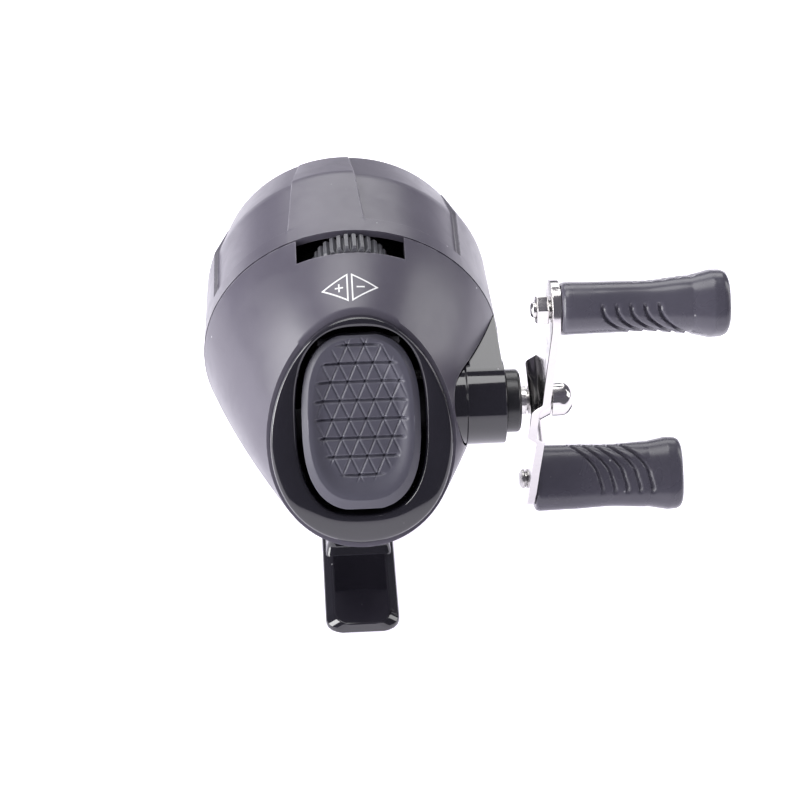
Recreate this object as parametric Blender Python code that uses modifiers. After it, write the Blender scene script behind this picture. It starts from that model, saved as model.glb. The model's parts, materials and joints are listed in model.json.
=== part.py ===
"""Spincast reel, modelled as the pieces that it comes apart into.

Frame: metres, +Z up. The origin is the middle of the foot's underside, +Y runs along the rod towards
the line outlet, and +X is the crank's side. The driving dimensions below are in millimetres.
"""

import math

import bmesh
import bpy
from mathutils import Matrix, Vector

MM = 0.001
GAP = 0.3

# Body, on an axis along Y at this height
AXIS_Z = 45.0
BODY_R = 32.5
WALL = 1.6
SEAM_Y = 10.3
COVER_PROFILE = ((34.4, 32.05), (47.1, 28.4), (50.3, 20.0), (52.2, 12.0), (52.6, 5.0))
PANEL_DEPTH = 0.9
PANEL_START = 5.0
SPOKES = 5
SPOKE_ANGLE = 99.0
PANEL_WIDTH = (42.0, 50.0)

# Slanted rear face, with the bezel round the thumb button
FACE_Y = -21.15
FACE_Z = 47.9
FACE_TILT = 24.5
FACE_X = 0.7
BEZEL_SIZE = (18.9, 24.5)
OPENING_SIZE = (13.5, 20.2)
OPENING_UP = 2.3
BUTTON_SIZE = (12.3, 18.5)
BUTTON_RISE = (-1.0, 2.4)
BUTTON_WALL = 1.2
BUTTON_SKIRT = 3.5
EGG_TAPER = 0.095
BLUNTNESS = 2.7
HINGE_UP = 18.8
HINGE_IN = -2.8

# Deck and centre sleeve of the frame
DECK_Y = (2.0, 4.4)
DECK_R = 26.9
RIM_R = 29.6
SLEEVE_R = (2.9, 5.0)
SLEEVE_END = 26.0

# Crank, on an axis along X
CRANK_Y = -8.5
CRANK_LEAN = 18.0
BOSS_R = 9.0
BOSS_END = 31.4
ARM_REACH = 32.5
ARM_PLATE = 1.8
JOG_START = 4.6
JOG_END = 7.8
JOG_OUT = 2.1
KNOB_START = 40.6
KNOB_LENGTH = 33.4
KNOBS = (("upper", 1), ("lower", -1))
KNOB_TURN = {"upper": 52.0, "lower": -40.0}

# Gears
MODULE = 0.5
MAIN_TEETH = 30
PINION_TEETH = 10
TOOTH = 0.38
FACE_TEETH_X = (2.45, 3.85)
WHEEL_TEETH = 32
DRAG_TEETH = 60
WHEEL_UP = 23.5

# Foot
FOOT_LENGTH = 62.0
FOOT_WIDTH = 16.2
FOOT_THICK = 3.0
STEM_TOP = 20.0

FACETS = 36


# ---------------------------------------------------------------- scene and materials
for old in list(bpy.data.objects):
    bpy.data.objects.remove(old)

PARTS = bpy.data.collections.new("spincast_reel")
CUTTERS = bpy.data.collections.new("cutters")
for group in (PARTS, CUTTERS):
    bpy.context.scene.collection.children.link(group)


def material(name, colour, roughness, metallic=0.0):
    made = bpy.data.materials.new(name)
    made.use_nodes = True
    shader = made.node_tree.nodes["Principled BSDF"]
    shader.inputs["Base Color"].default_value = (*colour, 1.0)
    shader.inputs["Roughness"].default_value = roughness
    shader.inputs["Metallic"].default_value = metallic
    return made


SATIN = material("satin_charcoal", (0.075, 0.073, 0.085), 0.38)
GLOSS = material("gloss_black", (0.012, 0.012, 0.015), 0.12)
BUTTON_PLASTIC = material("matte_grey_plastic", (0.055, 0.056, 0.065), 0.55)
GRIP = material("grip_plastic", (0.045, 0.046, 0.055), 0.5)
CHROME = material("chrome_plate", (0.80, 0.79, 0.77), 0.12, 1.0)
STEEL = material("bright_steel", (0.62, 0.61, 0.60), 0.28, 1.0)
BRASS = material("brass", (0.72, 0.53, 0.25), 0.3, 1.0)
ACETAL = material("white_acetal", (0.78, 0.77, 0.72), 0.45)
DIECAST = material("diecast_zinc", (0.45, 0.45, 0.46), 0.4, 1.0)


# ---------------------------------------------------------------- building helpers
def place(obj, at=(0, 0, 0), turn=(0, 0, 0)):
    obj.location = Vector(at) * MM
    obj.rotation_euler = [math.radians(a) for a in turn]
    return obj


def add(name, data, finish=None):
    """Link data as a part, or as a hidden cutter when it has no finish."""
    obj = bpy.data.objects.new(name, data)
    if finish is None:
        CUTTERS.objects.link(obj)
        obj.hide_render = True
        obj.display_type = "WIRE"
    else:
        PARTS.objects.link(obj)
        data.materials.append(finish)
    return obj


def from_bmesh(name, bm, finish=None, smooth=False):
    data = bpy.data.meshes.new(name)
    bmesh.ops.scale(bm, vec=(MM, MM, MM), verts=bm.verts)
    bm.to_mesh(data)
    bm.free()
    if smooth:
        data.shade_smooth()
        data.set_sharp_from_angle(angle=math.radians(35))
    return add(name, data, finish)


def box(name, low, high, finish=None):
    bm = bmesh.new()
    low, high = Vector(low), Vector(high)
    size = Matrix.Diagonal((*(high - low), 1.0))
    bmesh.ops.create_cube(bm, size=1.0, matrix=Matrix.Translation((low + high) / 2) @ size)
    return from_bmesh(name, bm, finish)


TURNS = {"X": (0, 90, 0), "Y": (-90, 0, 0), "Z": (0, 0, 0)}


def turned(name, profile, axis, at=(0, 0, 0), finish=None, facets=FACETS):
    """Turn (position, radius) points, listed front to back along their outer side, about an axis."""
    data = bpy.data.meshes.new(name)
    points = [(radius * MM, 0, along * MM) for along, radius in profile]
    closed = profile[0][1] > 0 or profile[-1][1] > 0
    edges = [(i, i + 1) for i in range(len(points) - 1)]
    if closed:
        edges.append((len(points) - 1, 0))
    data.from_pydata(points, edges, [])
    obj = add(name, data, finish)
    screw = obj.modifiers.new("turn", "SCREW")
    screw.steps = screw.render_steps = facets
    screw.use_merge_vertices = True
    screw.merge_threshold = 1e-6
    return place(obj, at, TURNS[axis])


def rod(name, axis, start, end, radius, at=(0, 0, 0), finish=None, facets=24):
    profile = ((end, 0), (end, radius), (start, radius), (start, 0))
    return turned(name, profile, axis, at, finish, facets)


def tube(name, axis, start, end, inner, outer, at=(0, 0, 0), finish=None, facets=24):
    profile = ((end, inner), (end, outer), (start, outer), (start, inner))
    return turned(name, profile, axis, at, finish, facets)


def boolean(obj, other, operation):
    change = obj.modifiers.new(f"{operation.lower()}_{other.name}", "BOOLEAN")
    change.operation = operation
    change.object = other
    return obj


def cut(obj, *cutters):
    for cutter in cutters:
        boolean(obj, cutter, "DIFFERENCE")
    return obj


def join(obj, *others):
    for other in others:
        boolean(obj, other, "UNION")
    return obj


def flat(name, outlines, thickness, axis, at, finish):
    """A flat piece: closed outlines in the plane across the axis, with any inner ones as holes."""
    data = bpy.data.curves.new(name, "CURVE")
    data.dimensions = "2D"
    data.fill_mode = "BOTH"
    data.extrude = thickness / 2 * MM
    for outline in outlines:
        spline = data.splines.new("POLY")
        spline.points.add(len(outline) - 1)
        for point, (u, v) in zip(spline.points, outline):
            point.co = (u * MM, v * MM, 0, 1)
        spline.use_cyclic_u = True
    return place(add(name, data, finish), at, TURNS[axis])


def ring_of(radius, count, phase=0.0):
    turns = [2 * math.pi * i / count + phase for i in range(count)]
    return [(radius * math.cos(a), radius * math.sin(a)) for a in turns]


def polar(radius, degrees):
    angle = math.radians(degrees)
    return radius * math.cos(angle), radius * math.sin(angle)


def loft(name, rings, finish=None, ends=True, around=False):
    """Skin a list of equal rings of points. With around, the last ring meets the first."""
    bm = bmesh.new()
    rows = [[bm.verts.new(point) for point in ring] for ring in rings]
    pairs = list(zip(rows, rows[1:]))
    if around:
        pairs.append((rows[-1], rows[0]))
    for lower, upper in pairs:
        for i, point in enumerate(lower):
            j = (i + 1) % len(lower)
            bm.faces.new((point, lower[j], upper[j], upper[i]))
    if ends and not around:
        bm.faces.new(rows[0])
        bm.faces.new(rows[-1])
    bmesh.ops.recalc_face_normals(bm, faces=bm.faces)
    return from_bmesh(name, bm, finish, smooth=True)


def blocks(name, boxes):
    """One hidden mesh of separate boxes, each given by its size and its matrix."""
    bm = bmesh.new()
    for size, matrix in boxes:
        bmesh.ops.create_cube(bm, size=1.0, matrix=matrix @ Matrix.Diagonal((*size, 1.0)))
    return from_bmesh(name, bm)


# ---------------------------------------------------------------- slanted rear face
TILT = math.radians(FACE_TILT)
FACE_NORMAL = Vector((0, -math.cos(TILT), math.sin(TILT)))
FACE_UP = Vector((0, math.sin(TILT), math.cos(TILT)))
FACE_CENTRE = Vector((FACE_X, FACE_Y, FACE_Z))


def on_face(across, up, out):
    return FACE_CENTRE + Vector((across, 0, 0)) + FACE_UP * up + FACE_NORMAL * out


def egg(size, angle, up=0.0):
    """A point on an egg-shaped outline that is narrower at its top."""
    width = size[0] * math.cos(angle) * (1 - EGG_TAPER * math.sin(angle))
    return width, size[1] * math.sin(angle) + up


def blunt(size, angle, up=0.0):
    """A point on a fuller oval, like an ellipse with square shoulders."""
    across = math.copysign(abs(math.cos(angle)) ** (2 / BLUNTNESS), math.cos(angle))
    along = math.copysign(abs(math.sin(angle)) ** (2 / BLUNTNESS), math.sin(angle))
    return size[0] * across, size[1] * along + up


def around(count):
    return [2 * math.pi * (i + 0.5) / count for i in range(count)]


def face_ring(shape, size, up, out, count=30):
    """A ring of points on the slanted face; out is a height, or a rule that gives it from the place."""
    ring = []
    for angle in around(count):
        across, along = shape(size, angle, up)
        height = out(along) if callable(out) else out
        ring.append(on_face(across, along, height))
    return ring


# ---------------------------------------------------------------- rear shell
SHELL_EDGE = -2.8
SHELL_GROWTH = 1.045


def shell_fullness(t):
    """How far the shell has gone from the round seam to the egg: slow at first, then straight."""
    return t * (1 - 0.16 * (1 - t) * 2)


def inset(ring, by):
    """The same ring, drawn in towards its middle."""
    middle = sum(ring, Vector()) / len(ring)
    return [middle + (point - middle) * (1 - by / (point - middle).length) for point in ring]


def rear_shell():
    count = 44
    rear_size = (BEZEL_SIZE[0] * SHELL_GROWTH, BEZEL_SIZE[1] * SHELL_GROWTH)
    rear = face_ring(egg, rear_size, 0.0, SHELL_EDGE, count)
    seam = [(BODY_R * math.cos(a), BODY_R * math.sin(a)) for a in around(count)]
    front = [Vector((x, SEAM_Y + GAP, AXIS_Z + z)) for x, z in seam]
    rings = []
    steps = 6
    for step in range(steps + 1):
        t = step / steps
        w = shell_fullness(t)
        ring = []
        for a, b in zip(front, rear):
            ring.append(Vector((a.x + (b.x - a.x) * w, a.y + (b.y - a.y) * t, a.z + (b.z - a.z) * w)))
        rings.append(ring)
    shell = loft("rear_shell", rings, SATIN, ends=False)
    solid = shell.modifiers.new("wall", "SOLIDIFY")
    solid.thickness = WALL * MM
    solid.offset = -1.0
    solid.use_rim = True
    solid.use_even_offset = True
    core = loft("shell_core", [inset(ring, 0.6) for ring in rings])
    for number, (x, z) in enumerate(SCREW_PLACES, 1):
        post = rod(f"screw_post_{number}", "Y", -9.0, DECK_Y[0] - GAP, 3.0, (x, 0, z), facets=16)
        join(shell, boolean(post, core, "INTERSECT"))
    for number, (x, z) in enumerate(SCREW_PLACES, 1):
        cut(shell, rod(f"screw_hole_{number}", "Y", -4.6, 8.0, 1.5, (x, 0, z), facets=12))
    window = box("drag_window", (-11.4, 4.7, AXIS_Z + 20), (11.4, SEAM_Y + 2, AXIS_Z + 40))
    boss_hole = rod("boss_hole", "X", 14.0, 40.0, BOSS_R + GAP, (0, CRANK_Y, AXIS_Z), facets=FACETS)
    side = BOSS_R + GAP
    boss_slot = box("boss_slot", (14, CRANK_Y, AXIS_Z - side), (40, SEAM_Y + 2, AXIS_Z + side))
    stem_slot = box("stem_slot", (-7.4, -9.0, 4), (7.4, SEAM_Y + 2, 24))
    seam_trim = box("seam_trim", (-40, SEAM_Y - GAP / 2, 5), (40, SEAM_Y + 8, 85))
    cut(shell, seam_trim, window, boss_hole, boss_slot, stem_slot)


# ---------------------------------------------------------------- bezel and thumb button
def rear_bezel():
    """A glossy ring with a guide wall round the button, lofted section by section round the egg."""
    section = ((0.0, -5.0), (0.0, -0.8), (0.16, 0.0), (0.86, 0.0))
    section += ((1.0, -0.7), (1.04, -2.5), (0.27, -2.5), (0.27, -5.0))
    rings = []
    for angle in around(36):
        inner = blunt(OPENING_SIZE, angle, OPENING_UP)
        outer = egg(BEZEL_SIZE, angle)
        ring = []
        for share, out in section:
            mix = [a + (b - a) * share for a, b in zip(inner, outer)]
            ring.append(on_face(*mix, out))
        rings.append(ring)
    bezel = loft("rear_bezel", rings, GLOSS, around=True)
    cut(bezel, rod("bezel_hinge_bore", "X", -12, 12, 1.2, on_face(0, HINGE_UP, HINGE_IN), facets=12))


DISH = 0.45
POST_R = 1.8
POST_START = -22.7
POST_END = -19.6


def button_height(along):
    """The button's face stands higher at its bottom than at its top."""
    top = OPENING_UP + BUTTON_SIZE[1]
    share = (top - along) / (2 * BUTTON_SIZE[1])
    return BUTTON_RISE[0] + (BUTTON_RISE[1] - BUTTON_RISE[0]) * share


def thumb_button():
    def ring(scale_by, drop):
        size = [s - scale_by for s in BUTTON_SIZE]
        return face_ring(blunt, size, OPENING_UP, lambda along: button_height(along) - drop)

    top = ring(9.5, DISH)
    under = ring(9.5, DISH + BUTTON_WALL)
    rings = [ring(BUTTON_WALL, BUTTON_SKIRT), ring(0, BUTTON_SKIRT), ring(0, 0.8), ring(0.8, 0.0)]
    rings += [ring(2.6, 0.0), ring(6.0, 0.35), top, under, ring(BUTTON_WALL, BUTTON_WALL + 0.6)]
    skin = loft("thumb_button", rings, BUTTON_PLASTIC, around=True)
    section = ring_of(POST_R, 16)
    slanted = [(x, POST_START + z * math.tan(TILT), AXIS_Z + z) for x, z in section]
    square = [(x, POST_END, AXIS_Z + z) for x, z in section]
    join(skin, loft("button_middle", [top, under]), loft("button_post", [slanted, square]))
    cut(skin, rod("button_hinge_bore", "X", -12, 12, 1.2, on_face(0, HINGE_UP, HINGE_IN), facets=12))
    set_origin(skin, on_face(-FACE_X, HINGE_UP, HINGE_IN))


def set_origin(obj, point):
    """Move the origin to the joint's axis and leave the shape where it is."""
    shift = Vector(point) * MM - obj.location
    obj.data.transform(Matrix.Translation(-shift))
    obj.location += shift


# ---------------------------------------------------------------- frame
SCREW_PLACES = [(x, AXIS_Z + z) for x, z in (polar(23.5, a) for a in (45, 135, 225, 315))]


def main_frame():
    """Deck, rim and centre sleeve in one casting with the crank's boss and its fairing."""
    at = (0, 0, AXIS_Z)
    crank = (0, CRANK_Y, AXIS_Z)
    rear, front = DECK_Y
    inside = [(front, 0), (front, DECK_R - 1.2), (8.8, RIM_R - 1.5), (12.5, RIM_R - 1.5)]
    deck = inside + [(12.5, RIM_R), (8.5, RIM_R), (rear, DECK_R), (rear, 0)]
    frame = turned("main_frame", deck, "Y", at, GLOSS, facets=36)
    sleeve = rod("frame_sleeve", "Y", 3.0, SLEEVE_END, SLEEVE_R[1], at, facets=24)
    inner_boss = rod("inner_boss", "X", 10.5, 24.0, 5.5, crank, facets=24)
    neck = rod("boss_neck", "X", 18.0, 24.0, BOSS_R - 0.4, crank, facets=FACETS)
    outer_boss = rod("outer_boss", "X", 23.4, BOSS_END, BOSS_R, crank, facets=FACETS)
    half = BOSS_R - 0.02
    fairing = box("fairing", (24.2, CRANK_Y, AXIS_Z - half), (BOSS_END - 0.2, SEAM_Y - 0.15, AXIS_Z + half))
    web = box("gear_web", (10.9, -12.0, 34.0), (12.5, 3.0, 50.0))
    side_wall = box("side_wall", (-13.0, -13.6, 41.0), (-11.0, 3.0, 49.0))
    bridge = box("bridge", (-12.0, -13.5, 41.5), (0.35, -11.3, 48.5))
    guide = rod("bridge_guide", "Y", -13.7, -11.1, 3.0, at, facets=20)
    pad = box("foot_pad", (-7.0, -8.5, STEM_TOP + GAP), (7.0, 3.0, 23.0))
    join(frame, sleeve, inner_boss, neck, outer_boss, fairing, web, side_wall, bridge, guide, pad)
    window = box("rim_window", (-11.4, front + 0.1, AXIS_Z + 22), (11.4, 14, AXIS_Z + 34))
    stem = box("rim_stem_slot", (-7.4, -9, 8), (7.4, 14, STEM_TOP + GAP))
    sleeve_bore = rod("sleeve_bore", "Y", 0.0, 30.0, SLEEVE_R[0], at, facets=24)
    guide_bore = rod("guide_bore", "Y", -16.0, -9.0, 2.1, at, facets=18)
    steps = ((36.0, 0), (36.0, 4.5), (15.7, 4.5), (15.7, 3.3), (8.0, 3.3), (8.0, 0))
    crank_bore = turned("crank_bore", steps, "X", crank, facets=26)
    wheel_bore = rod("wheel_pin_bore", "Y", 0.5, 7.0, 1.5, (0, 0, AXIS_Z + WHEEL_UP), facets=13)
    pawl_bore = rod("pawl_pin_bore", "X", 9.0, 14.0, 1.1, (0, *PAWL_PIVOT), facets=12)
    cut(frame, window, stem, sleeve_bore, guide_bore, crank_bore, wheel_bore, pawl_bore)
    for number, (x, z) in enumerate(SCREW_PLACES, 1):
        cut(frame, rod(f"deck_hole_{number}", "Y", 0, 6, 1.5, (x, 0, z), facets=12))
    for number, y in enumerate(FOOT_SCREWS, 1):
        cut(frame, rod(f"pad_hole_{number}", "Z", 18, 26, 1.5, (0, y, 0), facets=12))


# ---------------------------------------------------------------- front cover
def panel_cutter(name, middle):
    """A band just above the recessed panel, wider in angle towards the front."""
    start = SEAM_Y + PANEL_START
    (y1, r1), (y2, r2) = COVER_PROFILE[:2]
    r0 = BODY_R - (BODY_R - r1) * PANEL_START / (y1 - SEAM_Y)
    inner = [(start, r0 - PANEL_DEPTH), (y1, r1 - PANEL_DEPTH), (y2 + 1.0, r2 - PANEL_DEPTH - 0.3)]
    steps = 8
    rings = []
    for i in range(steps + 1):
        ring = []
        for y, radius in inner + [(y2 + 1.0, 36.0), (y1, 36.0), (start, 36.0)]:
            share = (y - start) / (y2 - start)
            width = PANEL_WIDTH[0] + (PANEL_WIDTH[1] - PANEL_WIDTH[0]) * share
            angle = math.radians(middle + width * (i / steps - 0.5))
            ring.append((radius * math.cos(angle), y, AXIS_Z + radius * math.sin(angle)))
        rings.append(ring)
    return loft(name, rings)


def front_cover():
    start = SEAM_Y + GAP / 2
    outer = list(reversed(COVER_PROFILE)) + [(start, BODY_R)]
    inner = [(y - (WALL if y > 48 else 0.5), r - (0 if y > 52 else WALL)) for y, r in COVER_PROFILE]
    inner = [(start, BODY_R - WALL)] + inner[:-1] + [(COVER_PROFILE[-1][0] - WALL, COVER_PROFILE[-1][1])]
    cover = turned("front_cover", outer + inner, "Y", (0, 0, AXIS_Z), SATIN, facets=45)
    for i in range(SPOKES):
        middle = SPOKE_ANGLE + (i + 0.5) * 360 / SPOKES
        cut(cover, panel_cutter(f"panel_{i + 1}", middle))


def line_guide():
    profile = ((54.8, 3.4), (54.8, 5.6), (54.0, 6.4), (53.0, 6.4), (52.9, 4.6), (49.6, 4.6), (49.6, 3.4))
    turned("line_guide", profile, "Y", (0, 0, AXIS_Z), CHROME, facets=20)


# ---------------------------------------------------------------- foot and screws
FOOT_SCREWS = (-5.5, -0.5)


def reel_foot():
    """A plate that thins to its round-cornered ends, with the stem that the body stands on."""
    half = FOOT_WIDTH / 2
    rings = []
    ends = ((31.0, 5.4, 2.6), (30.2, 7.2, 2.8), (28.6, half, 3.0), (14.0, half, 3.4), (9.7, half, 4.2))
    stations = [(-y, w, h) for y, w, h in ends] + [(y, w, h) for y, w, h in reversed(ends)]
    for y, wide, high in stations:
        ring = [(-wide, y, 0), (wide, y, 0), (wide, y, high - 0.9), (wide - 0.9, y, high)]
        rings.append(ring + [(-wide + 0.9, y, high), (-wide, y, high - 0.9)])
    foot = loft("reel_foot", rings, GLOSS)
    levels = ((2.0, 7.4, 11.4), (4.2, 7.2, 10.4), (6.5, 6.8, 9.2), (STEM_TOP, 6.8, 8.6))
    rings = []
    for z, wide, back in levels:
        front = min(back, 9.7)
        ring = [(-wide, -back + 2, z), (-wide + 2, -back, z), (wide - 2, -back, z), (wide, -back + 2, z)]
        rings.append(ring + [(wide, front, z), (-wide, front, z)])
    join(foot, loft("foot_stem", rings))
    for number, y in enumerate(FOOT_SCREWS, 1):
        cut(foot, rod(f"stem_hole_{number}", "Z", 11, 22, 1.5, (0, y, 0), facets=12))


def screw(name, axis, tip, seat, at, finish=STEEL):
    """A pan-head screw: its tip, the face that its head seats on, and its axis."""
    step = 1 if seat > tip else -1
    profile = [(seat + 1.6 * step, 0), (seat + 1.6 * step, 1.9), (seat + 0.8 * step, 2.3), (seat, 2.3)]
    profile += [(seat, 1.2), (tip, 1.2), (tip, 0)]
    if step < 0:
        profile.reverse()
    return turned(name, profile, axis, at, finish, facets=16)


def screws():
    for number, (x, z) in enumerate(SCREW_PLACES, 1):
        screw(f"case_screw_{number}", "Y", -4.0, DECK_Y[1] + GAP, (x, 0, z))
    for name, y in zip(("foot_screw_rear", "foot_screw_front"), FOOT_SCREWS):
        screw(name, "Z", 12.0, 23.0 + GAP, (0, y, 0))


# ---------------------------------------------------------------- crank and its gears
def at_crank(along=0.0):
    return (along, CRANK_Y, AXIS_Z)


def crank_shaft():
    profile = ((45.2, 0), (45.2, 2.0), (36.3, 2.0), (36.3, 3.0), (9.2, 3.0), (9.2, 2.0), (3.9, 2.0), (3.9, 0))
    turned("crank_shaft", profile, "X", at_crank(), STEEL, facets=24)


def crank_bushing():
    profile = ((34.9, 3.3), (34.9, 6.4), (34.5, 6.75), (31.7, 6.75), (31.7, 4.2), (16.0, 4.2), (16.0, 3.3))
    turned("crank_bushing", profile, "X", at_crank(), GLOSS, facets=24)


def main_gear():
    """A face gear: thirty straight teeth on the inner face of a disc."""
    pitch = MODULE * MAIN_TEETH / 2
    profile = ((7.0, 2.3), (7.0, 4.5), (5.6, 4.5), (5.6, pitch + 1.1), (3.6, pitch + 1.1), (3.6, 2.3))
    gear = turned("main_gear", profile, "X", at_crank(), DIECAST)
    tips, roots = FACE_TEETH_X
    size = (roots - tips, 2.2, TOOTH)
    boxes = []
    for i in range(MAIN_TEETH):
        turn = Matrix.Rotation(2 * math.pi * (i + 0.5) / MAIN_TEETH, 4, "X")
        boxes.append((size, turn @ Matrix.Translation(((tips + roots) / 2, pitch, 0))))
    join(gear, place(blocks("main_teeth", boxes), at_crank()))


def pinion_gear():
    root = MODULE * PINION_TEETH / 2 - 0.55
    tip = root + 1.0
    profile = ((10.0, 1.6), (10.0, 2.6), (0.0, 2.6), (0.0, root), (-2.0, root), (-2.0, 1.6))
    pinion = turned("pinion_gear", profile, "Y", (0, 0, AXIS_Z), BRASS, facets=24)
    boxes = []
    for i in range(PINION_TEETH):
        turn = Matrix.Rotation(2 * math.pi * i / PINION_TEETH, 4, "Y")
        middle = (root - 0.1 + tip) / 2
        boxes.append(((tip - root + 0.1, 2.0 + 0.2, TOOTH), turn @ Matrix.Translation((middle, -0.9, 0))))
    join(pinion, place(blocks("pinion_teeth", boxes), (0, 0, AXIS_Z)))


def ratchet_wheel():
    outline = []
    for i in range(12):
        outline += [polar(5.2, 30 * i), polar(4.2, 30 * i + 4)]
    flat("ratchet_wheel", [outline, ring_of(2.3, 20)], 1.6, "X", at_crank(8.1), STEEL)


def arm_offset(s):
    """How far out the arm's plate lies at a distance s from its middle."""
    jog = min(max((abs(s) - JOG_START) / (JOG_END - JOG_START), 0.0), 1.0)
    return 36.6 + JOG_OUT * jog


def arm_width(s):
    return 7.0 - 0.9 * min(abs(s) / 20, 1)


def handle_arm():
    """A stamped strip with a joggled middle and round ends, between the two knobs."""
    reach = ARM_REACH
    stations = [reach + 6.0 * math.sin(math.radians(a)) for a in (86, 60, 35, 12)]
    stations += [reach, 26.0, 20.0, 12.0, JOG_END, (JOG_START + JOG_END) / 2, JOG_START]
    stations = stations + [0.0] + [-s for s in reversed(stations)]
    rings = []
    for s in stations:
        past = max(abs(s) - reach, 0.0)
        wide = math.sqrt(max(36.0 - past * past, 0.5)) if past else arm_width(s)
        inner = arm_offset(s)
        outer = inner + ARM_PLATE
        rings.append([(inner, -wide, s), (outer, -wide, s), (outer, wide, s), (inner, wide, s)])
    arm = loft("handle_arm", rings, CHROME)
    place(arm, at_crank(), (CRANK_LEAN, 0, 0))
    arm.location.x = 0
    hub = rod("arm_hub_bore", "X", 30, 45, 2.3, at_crank(), facets=20)
    cut(arm, hub)
    for name, sign in KNOBS:
        cut(arm, rod(f"{name}_arm_bore", "X", 34, 45, 1.6 + GAP, knob_axis(sign), facets=16))


def arm_fasteners():
    profile = ((41.5, 2.3), (41.5, 3.4), (39.4, 4.4), (38.7, 4.4), (38.7, 2.3))
    turned("arm_washer", profile, "X", at_crank(), CHROME, facets=24)
    dome = ((46.6, 0), (46.6, 0.9), (46.2, 2.2), (45.3, 3.2), (44.3, 3.7), (41.8, 3.7))
    socket = ((41.8, 2.3), (45.5, 2.3), (45.5, 0))
    nut = turned("cap_nut", dome + socket, "X", at_crank(), CHROME, facets=24)
    hexagon(nut, 41.0, 48.0, 3.5, at_crank())


def hexagon(obj, start, end, apothem, at, axis="X"):
    """Keep only what lies inside a hexagonal bar."""
    bar = rod(f"{obj.name}_hexagon", axis, start, end, apothem / math.cos(math.pi / 6), at, facets=6)
    boolean(obj, bar, "INTERSECT")


# ---------------------------------------------------------------- knobs


def knob_axis(sign, along=0.0):
    lean = math.radians(CRANK_LEAN)
    return (along, CRANK_Y - sign * ARM_REACH * math.sin(lean), AXIS_Z + sign * ARM_REACH * math.cos(lean))


def squarer(value):
    """A sine or cosine made fuller, so that a ring of them has round corners and flatter sides."""
    return math.copysign(abs(value) ** 0.75, value)


def knob(name, sign):
    """A paddle grip: a round-cornered section that waists in the middle and flares at the tip."""
    profile = ((0.0, 6.6, 4.5), (0.8, 7.5, 5.3), (8, 7.4, 5.2), (17, 7.1, 5.1), (26, 7.5, 5.8))
    profile += ((30.2, 8.3, 6.8), (KNOB_LENGTH - 0.8, 8.1, 6.7), (KNOB_LENGTH, 7.0, 5.6))
    rings = []
    for along, wide, deep in profile:
        ring = []
        for angle in around(24):
            ring.append((along, deep * squarer(math.sin(angle)), wide * squarer(math.cos(angle))))
        rings.append(ring)
    grip = loft(f"knob_{name}", rings, GRIP)
    place(grip, knob_axis(sign, KNOB_START), (KNOB_TURN[name], 0, 0))
    hole = 1.6 + GAP
    bore = rod(f"knob_{name}_bore", "X", KNOB_START - 2, KNOB_START + 30, hole, knob_axis(sign), facets=16)
    cut(grip, bore)


def knob_spindles():
    upper = ((69.0, 0), (69.0, 1.6), (35.4, 1.6), (35.0, 1.2), (35.0, 0))
    turned("knob_spindle_upper", upper, "X", knob_axis(1), STEEL, facets=16)
    lower = ((69.0, 0), (69.0, 1.6), (38.4, 1.6), (38.4, 2.2), (37.8, 2.2), (37.3, 1.3), (37.3, 0))
    turned("knob_spindle_lower", lower, "X", knob_axis(-1), STEEL, facets=16)
    nut = tube("spindle_nut_upper", "X", 36.0, 38.4, 1.6 + GAP, 4.0, knob_axis(1), CHROME, facets=24)
    hexagon(nut, 35.0, 39.0, 2.75, knob_axis(1))


# ---------------------------------------------------------------- anti-reverse
PAWL_PIVOT = (-0.6, 43.1)
PAWL_TIP = (-5.73, 40.19)
PAWL_X = 8.1


def pawl():
    """A short arm whose tip stands just clear of the ratchet's teeth and swings straight away from them."""
    tip = Vector(PAWL_TIP) - Vector(PAWL_PIVOT)
    away = math.degrees(math.atan2(tip.y, tip.x))
    side = Vector((-tip.y, tip.x)).normalized()
    outline = [polar(1.9, away + turn) for turn in range(60, 301, 24)]
    outline += [tip * 0.5 - side * 0.15, tip - side * 0.15, tip + side * 0.5, tip * 0.8 + side * 1.2]
    piece = [(-v, u) for u, v in outline]
    hole = [(-v, u) for u, v in ring_of(1.1, 12)]
    flat("anti_reverse_pawl", [piece, hole], 1.4, "X", (PAWL_X, *PAWL_PIVOT), STEEL)
    rod("pawl_pin", "X", 6.9, 12.3, 0.8, (0, *PAWL_PIVOT), STEEL, facets=12)


# ---------------------------------------------------------------- shaft, head and spool
def centre_line():
    at = (0, 0, AXIS_Z)
    rod("thrust_plunger", "Y", -19.3, -12.0, 1.8, at, ACETAL, facets=16)
    rod("center_shaft", "Y", -11.7, 35.6, 1.3, at, STEEL, facets=16)
    tube("shaft_collar", "Y", -10.9, -10.1, 1.6, 2.6, at, STEEL, facets=20)
    profile = ((27.2, 1.6), (27.2, 4.4), (26.3, 4.4), (26.3, 2.6), (18.0, 2.6), (18.0, 1.6))
    turned("shaft_bushing", profile, "Y", at, BRASS, facets=24)
    nut = tube("head_nut", "Y", 31.9, 34.3, 1.6, 4.0, at, STEEL, facets=24)
    hexagon(nut, 31.0, 35.0, 2.75, at, "Y")
    clip = tube("spool_clip", "Y", 24.4, 25.2, 5.3, 7.4, at, STEEL, facets=28)
    cut(clip, box("clip_slot", (-1.5, 22, 35), (1.5, 27, AXIS_Z - 2)))


PINS = (("upper", 1), ("lower", -1))
PIN_Y = 26.5


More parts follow.
